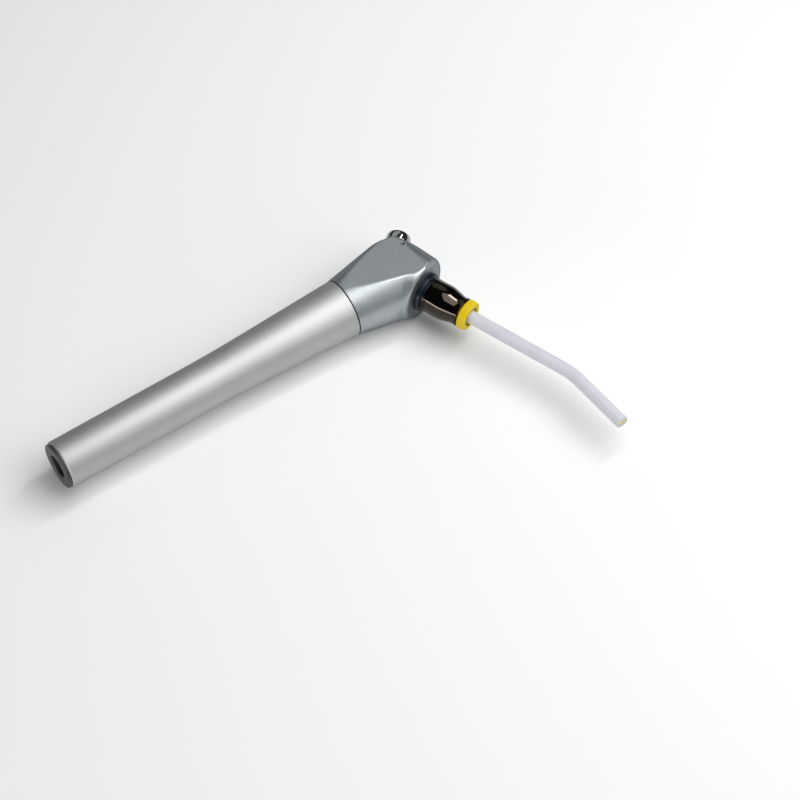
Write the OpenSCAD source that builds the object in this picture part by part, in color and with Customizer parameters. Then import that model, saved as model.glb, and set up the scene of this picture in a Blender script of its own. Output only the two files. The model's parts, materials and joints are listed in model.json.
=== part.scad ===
// Dental three-way (air and water) syringe: tapered handle, flat-sided valve head with two
// push buttons, and a bent disposable tip held in a quick-change adapter.
// Millimetres. +X runs along the handle towards the head, from an origin at the centre of the
// tubing mouth in the tail. The syringe lies on its side: the tip leaves towards -Y, the
// buttons face +Y, and +Z is up.

/* [Handle] */
// Length from the tubing mouth to the joint between handle and head
handle_len = 112; // [100:1:125]
// Outer radius of the handle's straight tail
handle_tail_r = 8.42; // [8.3:0.02:8.8]
// Outer radius of the handle where it meets the head
handle_head_r = 10.3; // [10.1:0.02:10.4]
// Length of the handle's tapered front
handle_taper_len = 48; // [40:1:56]
// Radius of the handle's main bore
handle_bore_r = 6.8; // [6.4:0.05:7]
// Radius of the bore for the tubing in the tail bush
gland_r = 4; // [3.6:0.1:4.4]

/* [Head] */
// Half-width of the head, across its side flats, at the handle's axis
head_half_width = 10.8; // [10.6:0.05:11.2]
// Narrowing of each side flat for every millimetre towards the buttons
flat_lean = 0.13; // [0.1:0.01:0.14]
// Growth in radius of the head's cone for every millimetre ahead of the handle
cone_growth = 0.18; // [0.16:0.01:0.2]
// Radius of the round nose, where the tip's axis crosses the handle's axis
nose_r = 12.1; // [12:0.05:12.4]
// Loss in radius of the nose for every millimetre towards the tip
nose_taper = 0.08; // [0.07:0.01:0.1]
// Distance from the seam to where the tip's axis crosses the handle's axis
tip_cross = 22.8; // [22.4:0.1:23.2]
// Angle between the handle's axis and the tip's axis
tip_turn = 68.85; // [67:0.1:71]
// Distance of the head's front face from the crossing, along the tip's axis
front_face = 10.3; // [10:0.05:10.6]

/* [Buttons] */
// Angle between the handle's axis and the buttons' axes
button_turn = 42; // [40:0.5:44]
// Distance of the button face from the seam's centre, along the buttons' axes
button_face = 27; // [26.6:0.05:27.4]
// Radius of a button's cap
button_r = 4.3; // [4.1:0.05:4.3]
// Height of a button's top over the button face at rest
button_height = 4.8; // [4.6:0.1:5.4]
// Travel of a button
button_travel = 1.6; // [1.2:0.1:1.6]

/* [Tip] */
// Outer radius of the disposable tip
tip_r = 2.3; // [2.28:0.01:2.3]
// Distance of the tip's bend from the crossing, along the tip's axis
bend_at = 69.8; // [65:0.2:75]
// Angle of the tip's bend
bend_angle = 16.5; // [10:0.5:25]
// Length of the tip past its bend
tip_end_len = 25.2; // [20:0.2:30]

/* [Adapter] */
// Radius of the black base flange
flange_r = 7; // [6.8:0.05:7.2]
// Largest radius of the adapter's nut
nut_r = 6.2; // [6:0.05:6.4]
// Radius of the yellow release collar
collar_r = 5.3; // [5.1:0.05:5.5]
// Travel of the release collar
collar_travel = 0.5; // [0.3:0.1:0.5]

/* [Hidden] */
$fn = 96;

// Sides of the object that the two channels lie on
air = 1;
water = -1;

// Handle and what is inside it
seam_gap = 0.2;
bush_flange = 1.2;
bush_plug = 14;
socket_r = 8.2;
socket_from = handle_len - 19;
spigot_len = 12;
gasket_t = 0.8;
manifold_t = 4.7;
manifold_r = 7.6;
manifold_front = handle_len - spigot_len - gasket_t;
manifold_rear = manifold_front - manifold_t;
hose_y = -1.5;
hose_z = 3.4;
passage_r = 1;
barb_r = 1.5;
barb_tooth_r = 1.9;
barb_len = 10;
barb_press = 3;
screw_shank_r = 1;
screw_head_r = 1.9;
screw_ys = [4, -5.2];

// Valve bores, measured along the buttons' axes from the seam's centre
valve_offset = -12.1;
valve_spread = 4.65;
valve_r = 3.3;
valve_floor = 9;
seat_t = 1;
counterbore_r = button_r + 0.08;
counterbore_floor = button_face - 4.1;
neck_r = 2.05;
foot_top = counterbore_floor + 0.05;
foot_bottom = foot_top - 1.6;
pin_offset = 3.1;
pin_u = button_face - 3;
pin_r = 0.95;
pin_inner = 2;
pin_outer = 9.7;
pin_hex_depth = 1.2;
pin_hex_r = 0.55;
// The cap's underside stops on the retaining screw at the end of its travel
cap_bottom = pin_u + pin_r + button_travel + 0.05;
cap_rim = button_face + 2.3;
cap_top = button_face + button_height;
spool_land_r = 3.2;
spool_bottom = 13.5;
spool_tail = 11;
spool_stem_r = 1.2;
spool_groove_r = 2.3;
seal_us = [19.9, 14.5];
seal_mean = 2.78;
seal_section = 0.46;
outlet_u = 16.9;
outlet_r = 0.7;

// Adapter, measured along the tip's axis from the crossing
port_r = 4.2;
port_floor = 4.5;
chamber_r = 1.6;
tip_bore_r = tip_r + 0.06;
tip_rear = 9.1;
flange_front = front_face + 1.9;
nut_rear = flange_front + 0.8;
barrel_r = 4.6;
barrel_front = 20.7;
collet_chamber_r = 3.7;
collet_rear = 16.9;
nut_front = 26;
nut_mouth_r = 3.75;
nut_neck_r = nut_r - 0.6;
nut_grip_front = 19.4;
nut_taper_front = 24.4;
nut_lip = 25.4;
base_seal_mean = 5.25;
base_seal_section = 0.44;
bore_seals = [11.4, 14.8];
bore_groove_r = 3.38;
bore_groove_len = 1.1;
bore_seal_mean = 2.86;
bore_seal_section = 0.5;
nut_wall = 1.1;
collar_rear = nut_front + collar_travel + 0.1;
collar_front = 29.5;
sleeve_r = 3.6;
sleeve_rear = 21.7;
lip_r = 4.3;
lip_front = nut_front - nut_wall - 0.05;
stem_r = 0.4;
stem_front = 16;

// Tip
core_r = 1.5;
core_hole_r = 0.46;
flute_r = 0.3;
bend_r = 12;
bend_start = bend_at - bend_r * tan(bend_angle / 2);
// The bend is thinner by this much, so that its faces end at a real edge
hair = 0.002;

// Places children along the handle's axis, with their +Z towards the head
module along_handle(x) {
    translate([x, 0, 0]) rotate([0, 90, 0]) children();
}

// Places children along the tip's axis, with their +Z towards the tip's end
module along_tip(s) {
    translate([handle_len + tip_cross, 0, 0]) rotate([90, 0, 90 - tip_turn]) translate([0, 0, s]) children();
}

// Places children along one button's axis, with their +Z out of the button face
module along_valve(side, u) {
    translate([handle_len, 0, 0]) rotate([90, 0, 90 + button_turn])
        translate([valve_offset, side * valve_spread, u]) children();
}

// Straight drill between two points
module drill(a, b, r) {
    d = b - a;
    translate(a) rotate([0, acos(d.z / norm(d)), atan2(d.y, d.x)]) cylinder(h = norm(d), r = r);
}

module ring(outer, inner, h) {
    difference() {
        cylinder(h = h, r = outer);
        translate([0, 0, -1]) cylinder(h = h + 2, r = inner);
    }
}

module o_ring(mean, section) {
    rotate_extrude() translate([mean, 0]) circle(r = section);
}

// Point k of section i on a coil's wire, and the faces that close its skin
function coil_point(i, k, per_turn, sides, mean, wire, pitch) =
    let (a = 360 * i / per_turn, b = 360 * k / sides, r = mean + wire * cos(b))
    [r * cos(a), r * sin(a), wire + pitch * i / per_turn + wire * sin(b)];
function skin_faces(n, sides) = concat(
    [for (i = [0:n - 1], k = [0:sides - 1])
        [i * sides + k, i * sides + (k + 1) % sides, (i + 1) * sides + (k + 1) % sides, (i + 1) * sides + k]],
    [[for (k = [sides - 1:-1:0]) k], [for (k = [0:sides - 1]) n * sides + k]]);

module coil_spring(mean, wire, turns, len) {
    per_turn = 16;
    sides = 8;
    n = turns * per_turn;
    pitch = (len - 2 * wire) / turns;
    points = [for (i = [0:n], k = [0:sides - 1]) coil_point(i, k, per_turn, sides, mean, wire, pitch)];
    polyhedron(points = points, faces = skin_faces(n, sides), convexity = 10);
}

// Point on a valve's axis, for the passages that meet it
function valve_point(side, u) =
    let (a = button_turn)
    [handle_len + u * cos(a) - valve_offset * sin(a), u * sin(a) + valve_offset * cos(a),
        side * valve_spread];
function tip_point(s, z) =
    [handle_len + tip_cross + s * cos(tip_turn), -s * sin(tip_turn), z];

module handle() {
    color("lightsteelblue") difference() {
        union() {
            along_handle(bush_flange)
                cylinder(h = handle_len - handle_taper_len - bush_flange, r = handle_tail_r);
            along_handle(handle_len - handle_taper_len)
                cylinder(h = handle_taper_len - seam_gap, r1 = handle_tail_r, r2 = handle_head_r);
        }
        along_handle(-1) cylinder(h = handle_len + 2, r = handle_bore_r);
        along_handle(socket_from) cylinder(h = handle_len, r = socket_r);
    }
}

// Solid block that the head is cut from: a cone about the handle's axis and a round nose
module head_blank() {
    cone_len = 28;
    nose_rear = -7;
    edge = 2;
    edge_z = front_face - edge;
    slant = norm([1, nose_taper]);
    edge_r = nose_r - nose_taper * edge_z - edge * slant;
    along_handle(handle_len + seam_gap)
        cylinder(h = cone_len, r1 = handle_head_r + 0.1, r2 = handle_head_r + 0.1 + cone_growth * cone_len);
    along_tip(0) rotate_extrude() {
        polygon([
            [0, nose_rear], [nose_r - nose_taper * nose_rear, nose_rear],
            [edge_r + edge / slant, edge_z + edge * nose_taper / slant], [edge_r, edge_z],
            [edge_r, front_face], [0, front_face]]);
        translate([edge_r, edge_z]) circle(r = edge);
    }
}

module slab(reach) {
    translate([-2 * reach, -reach, 0]) cube([4 * reach, 2 * reach, 3 * reach]);
}

// Keeps what lies between the side flats, behind the front face and under the button face
module head_cuts() {
    reach = 30;
    near = head_half_width + flat_lean * reach;
    far = head_half_width - flat_lean * reach;
    intersection() {
        translate([handle_len - reach, 0, 0]) rotate([90, 0, 90]) linear_extrude(height = 3 * reach)
            polygon([[-reach, -near], [reach, -far], [reach, far], [-reach, near]]);
        along_tip(front_face - 3 * reach) slab(reach);
        translate([handle_len, 0, 0]) rotate([90, 0, 90 + button_turn])
            translate([0, 0, button_face - 3 * reach]) slab(reach);
    }
}

module hose_holes(x, len, r) {
    for (side = [air, water])
        translate([x, hose_y, side * hose_z]) rotate([0, 90, 0]) cylinder(h = len, r = r);
}

module screw_holes(x, len) {
    for (y = screw_ys) translate([x, y, 0]) rotate([0, 90, 0]) cylinder(h = len, r = screw_shank_r);
}

module valve_cut(side) {
    along_valve(side, valve_floor) cylinder(h = counterbore_floor - valve_floor + 0.01, r = valve_r);
    along_valve(side, counterbore_floor) cylinder(h = button_face, r = counterbore_r);
    rear = [handle_len - spigot_len - 1, hose_y, side * hose_z];
    drill(rear, valve_point(side, valve_floor + 0.3), passage_r);
    drill(valve_point(side, outlet_u), tip_point(port_floor + 0.3, side * 0.8), outlet_r);
    along_valve(side, pin_u) translate([-pin_offset, -side * valve_spread, 0]) rotate([side * -90, 0, 0])
        translate([0, 0, pin_inner]) cylinder(h = 12, r = pin_r);
}

module head() {
    color("silver") difference() {
        union() {
            intersection() {
                head_blank();
                head_cuts();
            }
            along_handle(handle_len - spigot_len) cylinder(h = spigot_len + 2, r = socket_r);
        }
        for (side = [air, water]) valve_cut(side);
        along_tip(port_floor) cylinder(h = 20, r = port_r);
        screw_holes(handle_len - spigot_len - 1, 6);
    }
}

module seam_ring() {
    color("black") along_handle(handle_len - seam_gap) ring(handle_head_r - 0.1, socket_r, 2 * seam_gap);
}

module tail_bush() {
    color("dimgray") difference() {
        union() {
            along_handle(0) cylinder(h = bush_flange, r = handle_tail_r - 0.4);
            along_handle(bush_flange) cylinder(h = bush_plug - bush_flange, r = handle_bore_r);
        }
        along_handle(-1) cylinder(h = bush_plug + 2, r = gland_r);
    }
}

module hose_manifold() {
    color("gainsboro") difference() {
        along_handle(manifold_rear) cylinder(h = manifold_t, r = manifold_r);
        hose_holes(manifold_rear - 1, manifold_t + 2, passage_r);
        hose_holes(manifold_rear - 1, barb_press + 1, barb_r);
        screw_holes(manifold_rear - 1, manifold_t + 2);
    }
}

module manifold_gasket() {
    color("black") difference() {
        along_handle(manifold_front) cylinder(h = gasket_t, r = manifold_r);
        hose_holes(manifold_front - 1, gasket_t + 2, passage_r);
        screw_holes(manifold_front - 1, gasket_t + 2);
    }
}

module manifold_screws() {
    head_t = 1.4;
    shank_len = manifold_t + gasket_t + 4.8;
    color("gray") for (y = screw_ys) translate([manifold_rear, y, 0]) rotate([0, 90, 0]) difference() {
        union() {
            translate([0, 0, -head_t]) cylinder(h = head_t, r = screw_head_r);
            cylinder(h = shank_len, r = screw_shank_r);
        }
        translate([0, 0, -head_t - 0.1]) cylinder(h = 0.9, r = 0.95, $fn = 6);
    }
}

module barb(side) {
    teeth = 3;
    tooth = 2.2;
    translate([manifold_rear, hose_y, side * hose_z]) rotate([0, 90, 0]) difference() {
        union() {
            translate([0, 0, -barb_len]) cylinder(h = barb_len + barb_press, r = barb_r);
            for (i = [0:teeth - 1])
                translate([0, 0, -barb_len + i * tooth]) cylinder(h = tooth, r1 = barb_r, r2 = barb_tooth_r);
            translate([0, 0, -1.2]) cylinder(h = 1.2, r = barb_tooth_r);
        }
        translate([0, 0, -barb_len - 1]) cylinder(h = barb_len + barb_press + 2, r = 0.9);
    }
}

module air_barb() {
    color("goldenrod") barb(air);
}

module water_barb() {
    color("goldenrod") barb(water);
}

module valve_seat(side) {
    along_valve(side, valve_floor) ring(valve_r, 1.35, seat_t);
}

module air_valve_seat() {
    color("peru") valve_seat(air);
}

module water_valve_seat() {
    color("peru") valve_seat(water);
}

// Set screw through a side flat, whose inner end holds the button by the neck
module button_screw(side) {
    along_valve(side, pin_u) translate([-pin_offset, -side * valve_spread, 0]) rotate([side * -90, 0, 0])
        difference() {
            translate([0, 0, pin_inner]) cylinder(h = pin_outer - pin_inner, r = pin_r);
            translate([0, 0, pin_outer - pin_hex_depth]) cylinder(h = 2, r = pin_hex_r, $fn = 6);
        }
}

module air_button_screw() {
    color("gray") button_screw(air);
}

module water_button_screw() {
    color("gray") button_screw(water);
}

module button(side) {
    dome_h = cap_top - cap_rim;
    dome_r = (button_r * button_r + dome_h * dome_h) / (2 * dome_h);
    along_valve(side, 0) {
        translate([0, 0, foot_bottom]) cylinder(h = foot_top - foot_bottom, r = spool_land_r);
        translate([0, 0, foot_bottom]) cylinder(h = cap_bottom - foot_bottom + 1, r = neck_r);
        translate([0, 0, cap_bottom]) cylinder(h = cap_rim - cap_bottom, r = button_r);
        intersection() {
            translate([0, 0, cap_top - dome_r]) sphere(r = dome_r);
            translate([0, 0, cap_rim]) cylinder(h = dome_h + 1, r = button_r);
        }
    }
}

module air_button() {
    color("whitesmoke") button(air);
}

module water_button() {
    color("whitesmoke") button(water);
}

module spool(side) {
    upper_land = seal_us[0] - 1.4;
    along_valve(side, 0) difference() {
        union() {
            translate([0, 0, spool_tail]) cylinder(h = foot_bottom - spool_tail, r = spool_stem_r);
            translate([0, 0, upper_land]) cylinder(h = foot_bottom - upper_land, r = spool_land_r);
            translate([0, 0, spool_bottom]) cylinder(h = 2, r = spool_land_r);
        }
        for (u = seal_us) translate([0, 0, u - 0.5]) ring(5, spool_groove_r, 1);
    }
}

module air_spool() {
    color("lightgray") spool(air);
}

module water_spool() {
    color("lightgray") spool(water);
}

module spool_seals(side) {
    for (u = seal_us) along_valve(side, u) o_ring(seal_mean, seal_section);
}

module air_spool_seals() {
    color("black") spool_seals(air);
}

module water_spool_seals() {
    color("black") spool_seals(water);
}

module valve_spring(side) {
    rest = valve_floor + seat_t + 0.02;
    along_valve(side, rest) coil_spring(2.2, 0.2, 3.5, spool_bottom - rest - 0.02);
}

module air_spring() {
    color("darkgray") valve_spring(air);
}

module water_spring() {
    color("darkgray") valve_spring(water);
}

module adapter_body() {
    color("#15181c") difference() {
        union() {
            along_tip(port_floor) cylinder(h = front_face - port_floor, r = port_r);
            along_tip(front_face) cylinder(h = flange_front - front_face, r = flange_r);
            along_tip(flange_front) cylinder(h = nut_rear - flange_front, r = nut_neck_r);
            along_tip(nut_rear) cylinder(h = barrel_front - nut_rear, r = barrel_r);
        }
        along_tip(port_floor - 1) cylinder(h = 10, r = chamber_r);
        along_tip(tip_rear - 0.1) cylinder(h = 20, r = tip_bore_r);
        along_tip(collet_rear - 0.1) cylinder(h = 20, r = collet_chamber_r);
        for (s = bore_seals) along_tip(s) cylinder(h = bore_groove_len, r = bore_groove_r);
        along_tip(front_face - 0.1) ring(5.8, 4.7, 1);
    }
}

module adapter_nut() {
    color("#221c18") difference() {
        along_tip(0) rotate_extrude() polygon([
            [0, nut_rear], [nut_r - 0.25, nut_rear], [nut_r, nut_rear + 0.4], [nut_r, nut_grip_front],
            [collar_r - 0.35, nut_taper_front], [collar_r - 0.2, nut_lip], [collar_r - 0.05, nut_front],
            [0, nut_front]]);
        along_tip(nut_rear - 1) cylinder(h = nut_front - nut_wall - nut_rear + 1, r = barrel_r);
        along_tip(nut_rear - 1) cylinder(h = 20, r = nut_mouth_r);
    }
}

module base_seal() {
    color("black") along_tip(front_face + base_seal_section) o_ring(base_seal_mean, base_seal_section);
}

module bore_seal(s) {
    along_tip(s + bore_groove_len / 2) o_ring(bore_seal_mean, bore_seal_section);
}

module rear_seal() {
    color("black") bore_seal(bore_seals[0]);
}

module front_seal() {
    color("black") bore_seal(bore_seals[1]);
}

// Thin tube that carries water into the middle of the tip, on a slotted disc
module water_stem() {
    color("lightgray") difference() {
        union() {
            along_tip(port_floor + 1) cylinder(h = 1, r = chamber_r);
            along_tip(port_floor + 1) cylinder(h = stem_front - port_floor - 1, r = stem_r);
        }
        along_tip(port_floor) cylinder(h = stem_front, r = 0.22);
        for (a = [0:120:240]) along_tip(port_floor) rotate([0, 0, a]) translate([1.3, 0, 0])
            cylinder(h = 3, r = 0.5);
    }
}

// Split sleeve that grips the tip and turns with it
module grip_collet() {
    slot = 0.5;
    color("tan") difference() {
        along_tip(collet_rear) ring(collet_chamber_r - 0.08, tip_r + 0.05, barrel_front - collet_rear - 0.1);
        for (a = [0:60:120]) along_tip(collet_rear + 1.2) rotate([0, 0, a + 30])
            translate([-5, -slot / 2, 0]) cube([10, slot, 5]);
    }
}

module collar_spring() {
    rear = barrel_front + 0.02;
    color("darkgray") along_tip(rear) coil_spring(4.05, 0.2, 4, lip_front - 0.75 - rear);
}

module release_collar() {
    color("gold") difference() {
        union() {
            along_tip(sleeve_rear) cylinder(h = collar_rear - sleeve_rear + 0.5, r = sleeve_r);
            along_tip(lip_front - 0.7) cylinder(h = 0.7, r = lip_r);
            along_tip(collar_rear) rotate_extrude() {
                h = collar_front - collar_rear;
                polygon([[0, 0], [collar_r - 0.25, 0], [collar_r, 0.25], [collar_r, h - 0.5],
                    [collar_r - 0.5, h], [0, h]]);
            }
        }
        along_tip(sleeve_rear - 1) cylinder(h = 20, r = tip_r + 0.2);
        along_tip(collar_front - 1.2) cylinder(h = 3, r = 3.35);
    }
}

// Runs a flat outline along the tip's two straight legs
module tip_legs() {
    along_tip(tip_rear) linear_extrude(height = bend_start - tip_rear) children();
    along_tip(bend_start) translate([-bend_r, 0, 0]) rotate([0, -bend_angle, 0]) translate([bend_r, 0, 0])
        linear_extrude(height = tip_end_len - bend_r * tan(bend_angle / 2)) children();
}

// Runs a flat outline round the tip's bend
module tip_elbow() {
    along_tip(bend_start) translate([-bend_r, 0, 0]) rotate([90, 0, 0])
        rotate_extrude(angle = bend_angle) translate([bend_r, 0]) children();
}

// Outlines of the tip's two layers, thinned all round by the given amount
module sleeve_outline(thin) {
    difference() {
        circle(r = tip_r - thin);
        circle(r = core_r + 0.02 + thin);
    }
}

module core_outline(thin) {
    flutes = 6;
    difference() {
        circle(r = core_r - thin);
        circle(r = core_hole_r + thin);
        for (i = [0:flutes - 1]) rotate(i * 360 / flutes) translate([core_r, 0]) circle(r = flute_r + thin);
    }
}

module tip_sleeve() {
    color("white") {
        tip_legs() sleeve_outline(0);
        tip_elbow() sleeve_outline(hair);
    }
}

module tip_core() {
    color("khaki") {
        tip_legs() core_outline(0);
        tip_elbow() core_outline(hair);
    }
}

handle();
head();
seam_ring();
tail_bush();
hose_manifold();
manifold_gasket();
manifold_screws();
air_barb();
water_barb();
air_valve_seat();
water_valve_seat();
air_button_screw();
water_button_screw();
air_button();
water_button();
air_spool();
water_spool();
air_spool_seals();
water_spool_seals();
air_spring();
water_spring();
adapter_body();
adapter_nut();
base_seal();
rear_seal();
front_seal();
water_stem();
grip_collet();
collar_spring();
release_collar();
tip_sleeve();
tip_core();
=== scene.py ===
"""Dental three-way syringe: the visible pieces and finishes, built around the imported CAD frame.

Metres. +X runs along the handle towards the head, the tip leaves towards -Y, the buttons face
+Y, and +Z is up. Turned pieces are drawn in millimetres along their own axis and placed by a
matrix.
"""

import json
import math

import bmesh
import bpy
import numpy as np
from mathutils import Matrix, Vector


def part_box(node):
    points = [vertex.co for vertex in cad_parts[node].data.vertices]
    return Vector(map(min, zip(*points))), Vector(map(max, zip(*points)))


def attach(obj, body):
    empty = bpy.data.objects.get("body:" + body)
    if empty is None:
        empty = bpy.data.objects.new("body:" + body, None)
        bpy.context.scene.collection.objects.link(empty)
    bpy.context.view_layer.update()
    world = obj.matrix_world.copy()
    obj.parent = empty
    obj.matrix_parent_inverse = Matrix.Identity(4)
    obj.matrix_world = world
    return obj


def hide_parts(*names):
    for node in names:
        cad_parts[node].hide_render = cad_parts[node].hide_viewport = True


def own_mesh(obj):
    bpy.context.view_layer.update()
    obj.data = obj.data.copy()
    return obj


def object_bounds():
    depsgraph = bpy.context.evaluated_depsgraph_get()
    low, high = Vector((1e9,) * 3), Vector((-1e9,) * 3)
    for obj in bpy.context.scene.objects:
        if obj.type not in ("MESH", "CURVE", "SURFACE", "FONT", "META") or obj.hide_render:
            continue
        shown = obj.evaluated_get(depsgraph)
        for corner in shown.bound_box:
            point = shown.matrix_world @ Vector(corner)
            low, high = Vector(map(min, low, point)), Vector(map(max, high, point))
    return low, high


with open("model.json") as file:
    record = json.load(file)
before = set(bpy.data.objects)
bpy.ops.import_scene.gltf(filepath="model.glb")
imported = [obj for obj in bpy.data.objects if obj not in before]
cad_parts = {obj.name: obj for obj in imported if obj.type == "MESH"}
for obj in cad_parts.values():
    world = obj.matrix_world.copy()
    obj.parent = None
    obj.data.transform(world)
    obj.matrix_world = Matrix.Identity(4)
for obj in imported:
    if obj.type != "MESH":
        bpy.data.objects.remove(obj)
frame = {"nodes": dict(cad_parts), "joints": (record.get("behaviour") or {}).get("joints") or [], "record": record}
cad_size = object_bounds()
NODES = frame["nodes"]
JOINTS = {joint["name"]: joint for joint in frame["joints"]}
MM = 0.001

# Points closer than this are one point
MERGE = 0.0005 * MM

# Axes of the object, from the joints
TIP_AXIS = Vector(JOINTS["tip_swivel"]["axis"]).normalized()
CROSSING = Vector(JOINTS["tip_swivel"]["pos_m"])
BUTTON_AXIS = -Vector(JOINTS["air_button_press"]["axis"]).normalized()
AIR, WATER = 1, -1

# Handle, from its box
HANDLE_LOW, HANDLE_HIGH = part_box("handle")
HANDLE_END = HANDLE_HIGH[0]
HANDLE_START = HANDLE_LOW[0]
SEAM_GAP = 0.2 * MM
SEAM = HANDLE_END + SEAM_GAP
HANDLE_HEAD_R = HANDLE_HIGH[2]
HANDLE_TAIL_R = 8.42 * MM
HANDLE_BORE_R = 6.8 * MM
HANDLE_SOCKET_R = 8.2 * MM
TAPER_LEN = 48 * MM

# Head's skin: a cone from the seam, a nose round the tip's axis, and the faces that trim them
HEAD_CENTRE = Vector((14, -0.5, 0)) * MM
HEAD_REACH = 40 * MM
SKIN_HALVINGS = 32
CONE_GROWTH = 0.18
CONE_STEP = 0.1 * MM
CONE_END = 28 * MM
PAST_SEAM = 1.5 * MM
NOSE_R = 12.3 * MM
NOSE_HALF_WIDTH = 12.03 * MM
NOSE_TAPER = 0.103
NOSE_REAR = 7 * MM
NOSE_BLEND = 1.0 * MM
FRONT_FACE = 10.3 * MM
FRONT_ROUND = 1.8 * MM
BUTTON_FACE = 27 * MM
HEAD_HALF_WIDTH = 10.8 * MM
FLAT_LEAN = 0.13

# Roundings in millimetres: least, growth, where the growth starts and how far it takes
BUTTON_ROUND = (1.2, 3.8, -12, 4)
FLAT_ROUND = (0.35, 0.35, 21, 8)

# Valves and their retaining screws, then the screws' own sizes in millimetres
VALVE_OFFSET = -12.1 * MM
VALVE_SPREAD = 4.65 * MM
SCREW_OFFSET = 3.1 * MM
SCREW_DEPTH = 3 * MM
SCREW_R = 0.95
SCREW_END = 9.7
SOCKET_R = 0.55
SOCKET_CUT = 2.4

# Springs, in millimetres along their own axis
WIRE_R = 0.2
WIRE_SIDES = 10
STEPS_PER_TURN = 24
VALVE_COIL = {"mean_r": 2.2, "turns": 3.5, "start": 10.02, "end": 13.48}
COLLAR_COIL = {"mean_r": 4.05, "turns": 4, "start": 20.72, "end": 24.1}

# Tip, in millimetres along its axis from the crossing of the two axes
TIP_REAR = 9.1
TIP_R = 2.3
TIP_BORE_R = 1.52
TIP_RIM = 0.16
CORE_R = 1.5
CORE_BORE_R = 0.46
CORE_SET_BACK = 0.25
FLUTES = 6
FLUTE_R = 0.3
BEND = math.radians(16.5)
BEND_R = 25
BEND_RINGS = 14
BEND_POINT = 69.8
END_LEN = 25.2
BEND_TRIM = BEND_R * math.tan(BEND / 2)
BEND_FROM = BEND_POINT - BEND_TRIM
TIP_END = BEND_FROM + BEND_R * BEND + END_LEN - BEND_TRIM

# Lights: place from the middle of the syringe, size and power
LIGHTS = {
    "overhead": ((0.24, -0.19, 0.62), (0.64, 0.94), 5.6),
    "far_card": ((0.22, 0.55, 0.50), (0.7, 0.40), 0.52),
    "near_card": ((0.25, -0.75, 0.38), (0.5, 0.35), 0.5),
    "thin_lamp": ((0.42, 0.06, 0.60), (0.05, 0.34), 1.0),
    "low_lamp": ((-0.60, -0.18, 0.075), (0.8, 0.11), 2.2),
}


def axis_frame(origin, axis):
    """Matrix whose Z runs along axis and whose Y is the world's Z."""
    z = axis.normalized()
    y = Vector((0, 0, 1))
    x = y.cross(z)
    turn = Matrix((x, y, z)).transposed().to_4x4()
    return Matrix.Translation(origin) @ turn


ALONG_HANDLE = axis_frame(Vector((0, 0, 0)), Vector((1, 0, 0)))
ALONG_TIP = axis_frame(CROSSING, TIP_AXIS)
SEAM_CENTRE = Vector((SEAM, 0, 0))


def along_valve(side):
    """Frame of a button and its valve, whose +Z leaves through the button face."""
    offset = Matrix.Translation((VALVE_OFFSET, side * VALVE_SPREAD, 0))
    return axis_frame(SEAM_CENTRE, BUTTON_AXIS) @ offset


def across_head(side):
    """Frame of a button's retaining screw, whose +Z leaves through that side's flat."""
    place = axis_frame(SEAM_CENTRE, BUTTON_AXIS) @ Matrix.Translation(
        (VALVE_OFFSET - SCREW_OFFSET, 0, BUTTON_FACE - SCREW_DEPTH))
    return place @ Matrix.Rotation(math.radians(-90 * side), 4, "X")


# ------------------------------------------------------------------ camera, light and floor

def look_from(location, right, up, back):
    return Matrix.Translation(location) @ Matrix((right, up, back)).transposed().to_4x4()


def make_camera():
    """Long lens, looking down on the syringe from beyond its tip side."""
    azimuth = math.radians(-34.4)
    elevation = math.radians(56.64)
    distance = 0.952
    shift_right, shift_up = -0.0191, 0.0311
    level = math.cos(elevation)
    back = Vector((math.sin(azimuth) * level, -math.cos(azimuth) * level, math.sin(elevation)))
    right = Vector((math.cos(azimuth), math.sin(azimuth), 0))
    up = back.cross(right)
    data = bpy.data.cameras.new("camera")
    data.lens = 126.86
    data.sensor_width = 36
    data.clip_start = 0.05
    data.clip_end = 20
    camera = bpy.data.objects.new("camera", data)
    camera.matrix_world = look_from(SEAM_CENTRE + back * distance - right * shift_right - up * shift_up,
                                    right, up, back)
    bpy.context.scene.collection.objects.link(camera)
    bpy.context.scene.camera = camera


def area_light(name, location, target, size, power):
    data = bpy.data.lights.new(name, "AREA")
    data.shape = "RECTANGLE"
    data.size, data.size_y = size
    data.energy = power
    light = bpy.data.objects.new(name, data)
    light.location = location
    light.rotation_euler = (Vector(target) - Vector(location)).to_track_quat("-Z", "Y").to_euler()
    bpy.context.scene.collection.objects.link(light)


def make_world():
    world = bpy.data.worlds.new("studio")
    world.use_nodes = True
    world.node_tree.nodes["Background"].inputs["Color"].default_value = (0.84, 0.92, 0.88, 1)
    world.node_tree.nodes["Background"].inputs["Strength"].default_value = 0.06
    bpy.context.scene.world = world
    bpy.context.scene.view_settings.view_transform = "Standard"


def make_stage():
    """Pale floor under the lowest point, and the soft lights over it."""
    floor_z = cad_size[0][2] - 0.1 * MM
    mesh = bpy.data.meshes.new("floor")
    bm = bmesh.new()
    bmesh.ops.create_grid(bm, x_segments=1, y_segments=1, size=3)
    bmesh.ops.translate(bm, verts=bm.verts, vec=(0, 0, floor_z))
    bm.to_mesh(mesh)
    bm.free()
    floor = bpy.data.objects.new("floor", mesh)
    bpy.context.scene.collection.objects.link(floor)
    finish = Finish("pale_floor", Roughness=0.9)
    finish.set("Base Color", (0.86, 0.86, 0.86, 1))
    mesh.materials.append(finish.material)
    middle = Vector((0.1, -0.02, 0))
    for name, (offset, size, power) in LIGHTS.items():
        area_light(name, middle + Vector(offset), middle, size, power)


# ------------------------------------------------------------------ shader building

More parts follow.
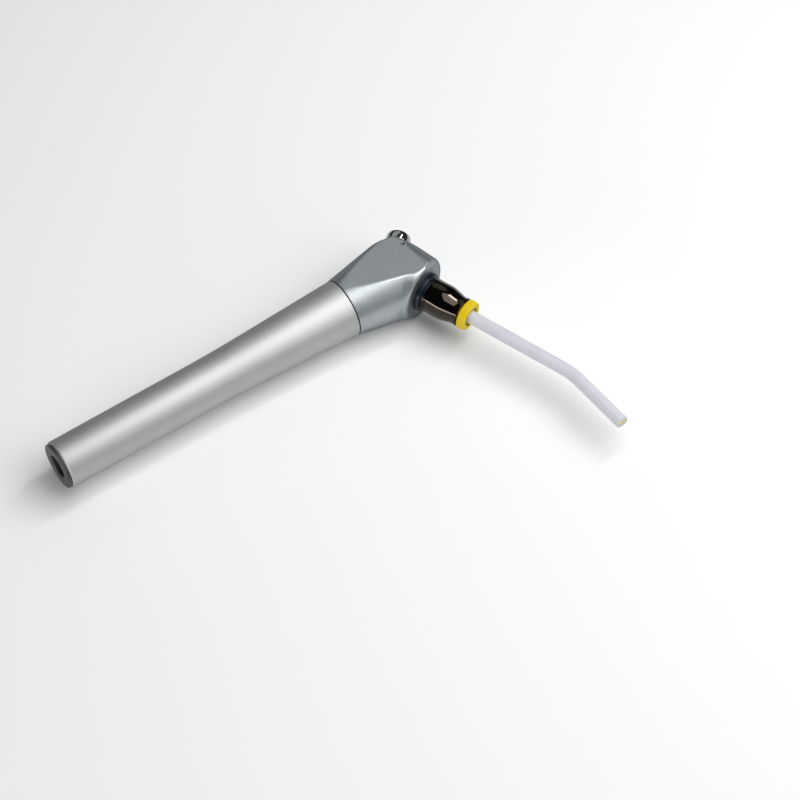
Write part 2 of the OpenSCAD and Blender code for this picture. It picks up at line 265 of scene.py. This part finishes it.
class Value:
    """A socket of a finish's nodes; arithmetic on it adds Math nodes."""

    def __init__(self, finish, socket):
        self.finish, self.socket = finish, socket

    def _math(self, operation, *values):
        return self.finish.node("ShaderNodeMath", {"operation": operation}, dict(enumerate(values)))

    def __add__(self, other):
        return self._math("ADD", self, other)

    def __mul__(self, other):
        return self._math("MULTIPLY", self, other)

    __radd__ = __add__


class Finish:
    """A Principled material; uniform values are set by keyword, varying ones by set()."""

    def __init__(self, name, **uniform):
        self.material = bpy.data.materials.new(name)
        self.material.use_nodes = True
        self.tree = self.material.node_tree
        self.surface = self.tree.nodes["Principled BSDF"]
        for key, value in uniform.items():
            self.surface.inputs[key.replace("_", " ")].default_value = value

    def node(self, kind, settings=None, sockets=None, out=0):
        node = self.tree.nodes.new(kind)
        for key, value in (settings or {}).items():
            if key == "stops":
                self._ramp(node.color_ramp, value)
            else:
                setattr(node, key, value)
        for key, value in (sockets or {}).items():
            if isinstance(value, Value):
                self.tree.links.new(value.socket, node.inputs[key])
            else:
                node.inputs[key].default_value = value
        return Value(self, node.outputs[out])

    def _ramp(self, ramp, stops):
        while len(ramp.elements) < len(stops):
            ramp.elements.new(1)
        for element, (position, colour) in zip(ramp.elements, stops):
            element.position = position
            element.color = (*colour, 1)

    def set(self, name, value):
        if isinstance(value, Value):
            self.tree.links.new(value.socket, self.surface.inputs[name])
        else:
            self.surface.inputs[name].default_value = value

    def place(self, matrix=None, scale=(1, 1, 1)):
        """Object coordinates in the frame of matrix, in millimetres, then scaled."""
        position = self.node("ShaderNodeTexCoord", out="Object")
        inverse = (matrix or Matrix()).inverted()
        turned = self.node("ShaderNodeMapping", {"vector_type": "POINT"}, {
            "Vector": position, "Location": inverse.to_translation() * 1000,
            "Rotation": inverse.to_euler("XYZ"), "Scale": (1000, 1000, 1000)})
        if tuple(scale) == (1, 1, 1):
            return turned
        return self.node("ShaderNodeVectorMath", {"operation": "MULTIPLY"}, {0: turned, 1: scale})

    def noise(self, vector, scale, detail=2.0, roughness=0.5):
        return self.node("ShaderNodeTexNoise", None, {
            "Vector": vector, "Scale": scale, "Detail": detail, "Roughness": roughness})

    def ramp(self, value, *stops):
        return self.node("ShaderNodeValToRGB", {"stops": stops}, {"Fac": value})

    def range(self, value, low, high, new_low=0.0, new_high=1.0):
        return self.node("ShaderNodeMapRange", None, {
            "Value": value, "From Min": low, "From Max": high, "To Min": new_low, "To Max": new_high})

    def mix(self, factor, first, second):
        sockets = {0: factor, 6: first, 7: second}
        return self.node("ShaderNodeMix", {"data_type": "RGBA"}, sockets, out=2)

    def bump(self, height, distance):
        normal = self.node("ShaderNodeBump", None, {
            "Height": height, "Distance": distance, "Strength": 1.0})
        self.set("Normal", normal)


def tint(r, g, b):
    return (r, g, b, 1)


def round_lines(finish, matrix, pitch):
    """Value that changes along the axis of matrix and hardly round it, as lathe lines do."""
    along = finish.place(matrix, (0.02, 0.02, 1 / pitch))
    return finish.noise(along, 1.0, 3.0, 0.6)


def satin_handle():
    """Satin-turned aluminium: fine lathe lines round it and a faint handling cloud."""
    finish = Finish("satin_aluminium", Metallic=1.0, Specular_Tint=tint(0.18, 0.19, 0.18))
    lines = round_lines(finish, ALONG_HANDLE, 0.10)
    cloud = finish.noise(finish.place(), 0.12, 3.0)
    grain = finish.noise(finish.place(), 3.2, 2.0)
    colour = finish.ramp(cloud, (0.3, (0.465, 0.475, 0.465)), (0.7, (0.505, 0.51, 0.51)))
    finish.set("Base Color", finish.mix(grain * 0.35 + lines * 0.25, colour, tint(0.56, 0.56, 0.56)))
    finish.set("Roughness", 0.49 + lines * 0.10 + cloud * 0.06)
    finish.bump(lines * 0.7 + grain * 0.3, 0.004 * MM)
    return finish.material


def blasted_head():
    """Bead-blasted, clear-anodised aluminium: an even sparkle of small dents."""
    finish = Finish("blasted_aluminium", Metallic=1.0, Specular_Tint=tint(0.12, 0.14, 0.14))
    place = finish.place()
    grain = finish.noise(place, 3.6, 3.0, 0.7)
    cloud = finish.noise(place, 0.16, 2.0)
    speck = finish.range(finish.noise(place, 2.7, 2.0, 0.7), 0.38, 0.64)
    colour = finish.ramp(cloud, (0.3, (0.37, 0.40, 0.415)), (0.7, (0.405, 0.435, 0.45)))
    finish.set("Base Color", finish.mix(speck * 0.6, colour, tint(0.50, 0.53, 0.55)))
    finish.set("Roughness", 0.34 + grain * 0.14)
    finish.bump(grain, 0.022 * MM)
    return finish.material


def polished(name, colour, low, high, coat=0.0):
    """Polished plating: a mirror with faint wiping marks."""
    finish = Finish(name, Metallic=1.0, Coat_Weight=coat)
    place = finish.place()
    wipe = finish.noise(place, 0.6, 4.0, 0.6)
    worn = tint(*[c * 0.9 for c in colour])
    finish.set("Base Color", finish.mix(finish.range(wipe, 0.35, 0.65), worn, tint(*colour)))
    finish.set("Roughness", finish.range(wipe, 0.3, 0.7, low, high))
    finish.bump(finish.noise(place, 3.0, 2.0), 0.0006 * MM)
    return finish.material


def turned_metal(name, colour, matrix=None, rough=0.3):
    """Machined metal with tool lines across its axis."""
    finish = Finish(name, Metallic=1.0)
    lines = round_lines(finish, matrix or Matrix(), 0.08)
    cloud = finish.noise(finish.place(), 0.5, 2.0)
    finish.set("Base Color", finish.mix(cloud, tint(*[c * 0.85 for c in colour]), tint(*colour)))
    finish.set("Roughness", rough + lines * 0.12)
    finish.bump(lines, 0.004 * MM)
    return finish.material


def moulded(name, colour, deep, rough, subsurface=0.0, gloss=0.5):
    """Moulded or extruded plastic: slight colour drift and a fine skin."""
    finish = Finish(name, Subsurface_Weight=subsurface, Subsurface_Scale=1.0 * MM,
                    Specular_IOR_Level=gloss)
    finish.surface.inputs["Subsurface Radius"].default_value = (1.0, 0.8, 0.6)
    place = finish.place()
    cloud = finish.noise(place, 0.25, 3.0)
    skin = finish.noise(place, 3.0, 3.0, 0.6)
    finish.set("Base Color", finish.mix(finish.range(cloud, 0.3, 0.7), tint(*deep), tint(*colour)))
    finish.set("Roughness", rough + skin * 0.12)
    finish.bump(skin, 0.006 * MM)
    return finish.material


def soft_rubber():
    """Black seal rubber with a faint bloom."""
    finish = Finish("seal_rubber", Specular_IOR_Level=0.35)
    place = finish.place()
    bloom = finish.noise(place, 0.9, 4.0)
    finish.set("Base Color", finish.mix(bloom, tint(0.012, 0.012, 0.014), tint(0.03, 0.03, 0.032)))
    finish.set("Roughness", 0.5 + bloom * 0.2)
    finish.bump(finish.noise(place, 6.0, 2.0), 0.01 * MM)
    return finish.material


def make_finishes():
    steel = (0.62, 0.62, 0.63)
    return {
        "handle_aluminium": satin_handle(),
        "head_aluminium": blasted_head(),
        "seal_rubber": soft_rubber(),
        "black_plastic": moulded("bush_plastic", (0.04, 0.04, 0.042), (0.025, 0.025, 0.027), 0.42),
        "manifold_metal": turned_metal("manifold_metal", steel, ALONG_HANDLE),
        "screw_steel": turned_metal("screw_steel", (0.42, 0.42, 0.43), None, 0.25),
        "brass": turned_metal("brass", (0.78, 0.56, 0.25), ALONG_HANDLE),
        "button_chrome": polished("button_chrome", (0.38, 0.385, 0.40), 0.04, 0.09),
        "valve_steel": turned_metal("valve_steel", (0.68, 0.68, 0.69), None, 0.2),
        "spring_steel": turned_metal("spring_steel", (0.5, 0.5, 0.52), None, 0.3),
        "black_anodised": moulded("black_anodised", (0.008, 0.013, 0.022), (0.004, 0.007, 0.012), 0.25,
                                  gloss=0.3),
        "black_chrome": polished("black_chrome", (0.045, 0.036, 0.029), 0.04, 0.09, 0.1),
        "collet_plastic": moulded("collet_plastic", (0.70, 0.60, 0.42), (0.62, 0.52, 0.36), 0.35),
        "yellow_plastic": moulded("yellow_plastic", (0.70, 0.51, 0.003), (0.63, 0.45, 0.002), 0.40,
                                  gloss=0.25),
        "white_plastic": moulded("white_plastic", (0.60, 0.595, 0.65), (0.56, 0.56, 0.61), 0.38, 0.1),
        "core_plastic": moulded("core_plastic", (0.84, 0.76, 0.36), (0.76, 0.68, 0.30), 0.45, 0.1),
    }


def dress_nodes():
    """Every CAD node that stays visible gets its finish."""
    slots = {part["node"]: part["material_slot"] for part in frame["record"]["subparts"]}
    for name, node in NODES.items():
        node.data.materials.clear()
        node.data.materials.append(FINISHES[slots[name]])


# ------------------------------------------------------------------ mesh helpers

def finish_piece(bm, name, body, slot, nodes, matrix=None, sharp=35):
    """Turns a bmesh into a piece: placed, shaded, finished, riding on its body."""
    if matrix:
        bm.transform(matrix)
    bmesh.ops.remove_doubles(bm, verts=bm.verts, dist=MERGE)
    bmesh.ops.recalc_face_normals(bm, faces=bm.faces)
    mesh = bpy.data.meshes.new(name)
    bm.to_mesh(mesh)
    bm.free()
    piece = bpy.data.objects.new(name, mesh)
    bpy.context.scene.collection.objects.link(piece)
    mesh.shade_smooth()
    mesh.set_sharp_from_angle(angle=math.radians(sharp))
    mesh.materials.append(FINISHES[slot])
    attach(piece, body)
    if nodes:
        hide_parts(*nodes)
    return piece


def outline_of(bm, points, closed):
    """Chain of edges in the XZ plane; a point's third number is the length its corner is rounded by."""
    verts = [bm.verts.new((p[0], 0, p[1])) for p in points]
    pairs = list(zip(verts, verts[1:] + ([verts[0]] if closed else [])))
    for a, b in pairs:
        bm.edges.new((a, b))
    for vert, point in zip(verts, points):
        if len(point) > 2 and point[2] > 0:
            steps = 4 + min(16, round(4 * point[2] / MM))
            bmesh.ops.bevel(bm, geom=[vert], offset=point[2], offset_type="OFFSET", segments=steps,
                            profile=0.5, affect="VERTICES", material=-1)


def turned(points, closed=True, steps=96):
    """Body of revolution about Z from (radius, height, rounding) points in millimetres."""
    bm = bmesh.new()
    outline_of(bm, [tuple(v * MM for v in p) for p in points], closed)
    bmesh.ops.spin(bm, geom=bm.verts[:] + bm.edges[:], cent=(0, 0, 0), axis=(0, 0, 1), dvec=(0, 0, 0),
                   angle=2 * math.pi, steps=steps, use_merge=True, use_duplicate=False)
    bmesh.ops.dissolve_degenerate(bm, edges=bm.edges, dist=MERGE)
    return bm


def cut_away(piece, cutters):
    """Takes the cutters' shapes out of a piece, for good."""
    for number, bm in enumerate(cutters):
        bmesh.ops.remove_doubles(bm, verts=bm.verts, dist=MERGE)
        bmesh.ops.recalc_face_normals(bm, faces=bm.faces)
        mesh = bpy.data.meshes.new("cutter")
        bm.to_mesh(mesh)
        bm.free()
        cutter = bpy.data.objects.new("cutter", mesh)
        bpy.context.scene.collection.objects.link(cutter)
        modifier = piece.modifiers.new(f"cut_{number}", "BOOLEAN")
        modifier.operation = "DIFFERENCE"
        modifier.solver = "EXACT"
        modifier.object = cutter
        bpy.context.view_layer.update()
        evaluated = piece.evaluated_get(bpy.context.evaluated_depsgraph_get())
        result = bpy.data.meshes.new_from_object(evaluated)
        piece.modifiers.clear()
        old = piece.data
        piece.data = result
        bpy.data.meshes.remove(old)
        bpy.data.objects.remove(cutter)
    bm = bmesh.new()
    bm.from_mesh(piece.data)
    bmesh.ops.remove_doubles(bm, verts=bm.verts, dist=0.003 * MM)
    bmesh.ops.dissolve_degenerate(bm, edges=bm.edges, dist=0.002 * MM)
    bmesh.ops.holes_fill(bm, edges=bm.edges, sides=4)
    bm.to_mesh(piece.data)
    bm.free()
    piece.data.shade_smooth()
    piece.data.set_sharp_from_angle(angle=math.radians(32))


# ------------------------------------------------------------------ head

def smooth_max(a, b, radius):
    """Greater of two distances, with the edge between them rounded to radius."""
    u, v = np.maximum(radius + a, 0), np.maximum(radius + b, 0)
    return np.minimum(-radius, np.maximum(a, b)) + np.sqrt(u * u + v * v)


def ease(value):
    """0 below 0, 1 above 1, and a smooth rise between."""
    held = np.clip(value, 0, 1)
    return held * held * (3 - 2 * held)


def growing_round(distance, least, growth, start, over):
    """Rounding in metres that grows smoothly once distance, in millimetres, passes start."""
    return (least + growth * ease((distance - start) / over)) * MM


def head_depth(points):
    """Signed distance of points from the head's skin, in metres, negative inside."""
    local = points - np.array(SEAM_CENTRE)
    x, y, z = local[:, 0], local[:, 1], local[:, 2]
    cone = (np.hypot(y, z) - HANDLE_HEAD_R - CONE_STEP - CONE_GROWTH * x) / math.hypot(1, CONE_GROWTH)
    cone = np.maximum(cone, x - CONE_END)
    from_crossing = points - np.array(CROSSING)
    along = from_crossing @ np.array(TIP_AXIS)
    away = from_crossing @ np.array(ALONG_TIP.to_3x3().col[0])
    nose = np.hypot(away * NOSE_R / (NOSE_HALF_WIDTH - NOSE_TAPER * along), z) - NOSE_R
    nose = np.maximum(nose, -along - NOSE_REAR)
    skin = -smooth_max(-cone, -nose, NOSE_BLEND)
    sideways = local @ np.array(along_valve(AIR).to_3x3().col[0])
    turn = growing_round(sideways / MM, *BUTTON_ROUND)
    skin = smooth_max(skin, local @ np.array(BUTTON_AXIS) - BUTTON_FACE, turn)
    skin = smooth_max(skin, along - FRONT_FACE, FRONT_ROUND)
    flats = (np.abs(z) + FLAT_LEAN * y - HEAD_HALF_WIDTH) / math.hypot(1, FLAT_LEAN)
    edge = growing_round(x / MM, *FLAT_ROUND)
    skin = smooth_max(skin, flats, edge)
    return np.maximum(skin, -PAST_SEAM - x)


def make_head():
    """Closed block: a fine sphere drawn out to the head's skin, then bored."""
    bm = bmesh.new()
    bmesh.ops.create_icosphere(bm, subdivisions=7, radius=1.0)
    ways = np.array([v.co.normalized()[:] for v in bm.verts])
    centre = np.array(SEAM_CENTRE + HEAD_CENTRE)
    low, high = np.zeros(len(ways)), np.full(len(ways), HEAD_REACH)
    for _ in range(SKIN_HALVINGS):
        middle = (low + high) / 2
        inside = head_depth(centre + ways * middle[:, None]) < 0
        low, high = np.where(inside, middle, low), np.where(inside, high, middle)
    for vert, place in zip(bm.verts, centre + ways * low[:, None]):
        vert.co = place
    seam_plane = bmesh.ops.bisect_plane(bm, geom=bm.verts[:] + bm.edges[:] + bm.faces[:], dist=1e-7,
                                        plane_co=SEAM_CENTRE + Vector((SEAM_GAP, 0, 0)),
                                        plane_no=(-1, 0, 0), clear_outer=True)
    rim = [g for g in seam_plane["geom_cut"] if isinstance(g, bmesh.types.BMEdge)]
    bmesh.ops.edgeloop_fill(bm, edges=rim)
    piece = finish_piece(bm, "head_block", "handpiece", "head_aluminium", ["head"], sharp=180)
    cutters = []
    for side in (AIR, WATER):
        bore = turned([(0, 22.9), (4.38, 22.9), (4.38, 26.6), (5.4, 27.62), (5.4, 31), (0, 31)], False, 64)
        bore.transform(along_valve(side))
        cutters.append(bore)
        hole = turned([(0, -2), (SCREW_R, -2), (SCREW_R, 9.8), (2.2, 11.05), (0, 11.05)], False, 48)
        hole.transform(across_head(side))
        cutters.append(hole)
    port = turned([(0, 4.5), (4.2, 4.5), (4.2, 10.1), (5.6, 11.5), (0, 11.5)], False, 64)
    port.transform(ALONG_TIP)
    cutters.append(port)
    cut_away(piece, cutters)


def make_screw(side, name, node):
    """Retaining screw of a button, with a hexagon socket in its outer end."""
    outline = [(0, 2), (SCREW_R, 2, 0.12), (SCREW_R, SCREW_END, 0.14), (0, SCREW_END)]
    piece = finish_piece(turned(outline, False, 48), name, "handpiece", "screw_steel", [node],
                         across_head(side))
    socket = bmesh.new()
    bmesh.ops.create_cone(socket, cap_ends=True, segments=6, radius1=SOCKET_R * MM, radius2=SOCKET_R * MM,
                          depth=SOCKET_CUT * MM, matrix=Matrix.Translation((0, 0, SCREW_END * MM)))
    socket.transform(across_head(side))
    cut_away(piece, [socket])


# ------------------------------------------------------------------ turned pieces

def handle_points():
    start, end = HANDLE_START / MM, HANDLE_END / MM
    tail, head = HANDLE_TAIL_R / MM, HANDLE_HEAD_R / MM
    bore, socket = HANDLE_BORE_R / MM, HANDLE_SOCKET_R / MM
    taper_from = (SEAM - TAPER_LEN) / MM
    return [(bore, start), (tail, start, 0.45), (tail, taper_from, 9), (head, end, 0.15), (socket, end),
            (socket, end - 18.8), (bore, end - 18.8)]


def make_handle():
    finish_piece(turned(handle_points(), True, 160), "handle_shell", "handpiece", "handle_aluminium",
                 ["handle"], ALONG_HANDLE)


def make_tail_bush():
    outline = [(4, 0, 0.6), (8.0, 0, 0.35), (8.0, 1.2), (6.8, 1.2), (6.8, 14), (4, 14)]
    finish_piece(turned(outline), "tail_bush_ring", "handpiece", "black_plastic", ["tail_bush"], ALONG_HANDLE)


def make_adapter():
    base = [(1.6, 4.6), (4.2, 4.6), (4.2, 10.3), (7, 10.3, 0.3), (7, 12.2, 0.45), (5.6, 12.2), (5.6, 13.0),
            (4.6, 13.0), (4.6, 20.7), (3.7, 20.7), (3.7, 16.8), (2.36, 16.8), (2.36, 9.0), (1.6, 9.0)]
    finish_piece(turned(base), "adapter_base", "handpiece", "black_anodised", ["adapter_body"], ALONG_TIP)
    nut = [(4.6, 13.0), (5.95, 13.0), (6.12, 13.15), (6.12, 13.4), (5.96, 13.5), (6.14, 13.6), (6.16, 13.9),
           (6.0, 14.0), (6.18, 14.1, 0.05), (6.2, 19.4, 1.2), (4.95, 24.4, 0.8), (5.25, 26, 0.2), (3.75, 26),
           (3.75, 24.9), (4.6, 24.9)]
    finish_piece(turned(nut, True, 128), "adapter_nut_shell", "handpiece", "black_chrome", ["adapter_nut"],
                 ALONG_TIP)
    collar = [(2.5, 21.7), (3.6, 21.7), (3.6, 24.1), (4.3, 24.1), (4.3, 24.85), (3.6, 24.85), (3.6, 26.6),
              (5.3, 26.6, 0.4), (5.3, 29.5, 0.7), (3.35, 29.5, 0.3), (3.35, 28.3, 0.2), (2.5, 28.3)]
    finish_piece(turned(collar, True, 96), "collar_ring", "collar", "yellow_plastic", ["release_collar"],
                 ALONG_TIP)


def make_button(side, name, body, node):
    cap = [(0, 31.8), (2.4, 31.4, 2.0), (4.3, 29.7, 1.2), (4.3, 26.6, 0.2), (2.05, 26.6), (2.05, 22.95),
           (3.2, 22.95), (3.2, 21.35), (0, 21.35)]
    finish_piece(turned(cap, False, 80), name, body, "button_chrome", [node], along_valve(side))


def make_spring(name, node, joint, place, mean_r, turns, start, end):
    """Wire coil of the given turns, from start to end in millimetres along its own axis; joint is not used."""
    wire_r = WIRE_R * MM
    steps = int(turns * STEPS_PER_TURN)
    rise = ((end - start) * MM - 2 * wire_r) / steps
    bm = bmesh.new()
    ring = bmesh.ops.create_circle(bm, cap_ends=False, segments=WIRE_SIDES, radius=wire_r)["verts"]
    bmesh.ops.rotate(bm, verts=ring, cent=(0, 0, 0), matrix=Matrix.Rotation(math.radians(90), 3, "X"))
    bmesh.ops.translate(bm, verts=ring, vec=(mean_r * MM, 0, start * MM + wire_r))
    bmesh.ops.spin(bm, geom=bm.verts[:] + bm.edges[:], cent=(0, 0, 0), axis=(0, 0, 1), dvec=(0, 0, rise),
                   angle=2 * math.pi * turns, steps=steps, use_merge=False, use_duplicate=False)
    bmesh.ops.holes_fill(bm, edges=bm.edges, sides=WIRE_SIDES)
    piece = finish_piece(bm, name, "handpiece", "spring_steel", [node], place)
    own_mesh(piece)


# ------------------------------------------------------------------ tip

def straight_tube(outer_r, inner_r, end, rim=0.0, steps=64):
    """Tube along Z, still straight, with its rings close together where it will bend."""
    heights = [BEND_FROM + BEND_R * BEND * ring / BEND_RINGS for ring in range(BEND_RINGS + 1)]
    outline = [(inner_r, TIP_REAR, rim), (outer_r, TIP_REAR, rim)]
    outline += [(outer_r, height) for height in heights]
    outline += [(outer_r, end, rim), (inner_r, end, rim)]
    outline += [(inner_r, height) for height in reversed(heights)]
    return turned(outline, True, steps)


def bend_tube(bm):
    """Bends everything past BEND_FROM towards -X, on the bend's radius."""
    start, radius = BEND_FROM * MM, BEND_R * MM
    for vert in bm.verts:
        past = vert.co.z - start
        if past > 0:
            turn = min(past / radius, BEND)
            arm = vert.co.x + radius
            beyond = past - turn * radius
            vert.co.x = arm * math.cos(turn) - beyond * math.sin(turn) - radius
            vert.co.z = arm * math.sin(turn) + beyond * math.cos(turn) + start


def cut_flutes(bm):
    """Presses round flutes into the rod's skin, evenly spaced."""
    pitch = 2 * math.pi / FLUTES
    for vert in bm.verts:
        turn = math.atan2(vert.co.y, vert.co.x) % pitch
        from_flute = min(turn, pitch - turn) * CORE_R
        if from_flute < FLUTE_R and vert.co.xy.length > (CORE_R - FLUTE_R) * MM:
            vert.co.xy *= 1 - math.sqrt(FLUTE_R ** 2 - from_flute ** 2) / CORE_R


def make_tip():
    """White tube with a fluted core inside it, both bent the same way."""
    tube = straight_tube(TIP_R, TIP_BORE_R, TIP_END, TIP_RIM)
    bend_tube(tube)
    finish_piece(tube, "tip_tube", "tip", "white_plastic", ["tip_sleeve"], ALONG_TIP)
    rod = straight_tube(CORE_R, CORE_BORE_R, TIP_END - CORE_SET_BACK, steps=96)
    cut_flutes(rod)
    bend_tube(rod)
    finish_piece(rod, "tip_core_rod", "tip", "core_plastic", ["tip_core"], ALONG_TIP)


make_camera()
make_world()
FINISHES = make_finishes()
make_stage()
dress_nodes()
make_handle()
make_head()
make_tail_bush()
make_adapter()
make_screw(AIR, "air_screw", "air_button_screw")
make_screw(WATER, "water_screw", "water_button_screw")
make_button(AIR, "air_button_cap", "air_valve", "air_button")
make_button(WATER, "water_button_cap", "water_valve", "water_button")
make_spring("air_spring_coil", "air_spring", "air_button_press", along_valve(AIR), **VALVE_COIL)
make_spring("water_spring_coil", "water_spring", "water_button_press", along_valve(WATER), **VALVE_COIL)
make_spring("collar_spring_coil", "collar_spring", "collar_push", ALONG_TIP, **COLLAR_COIL)
make_tip()
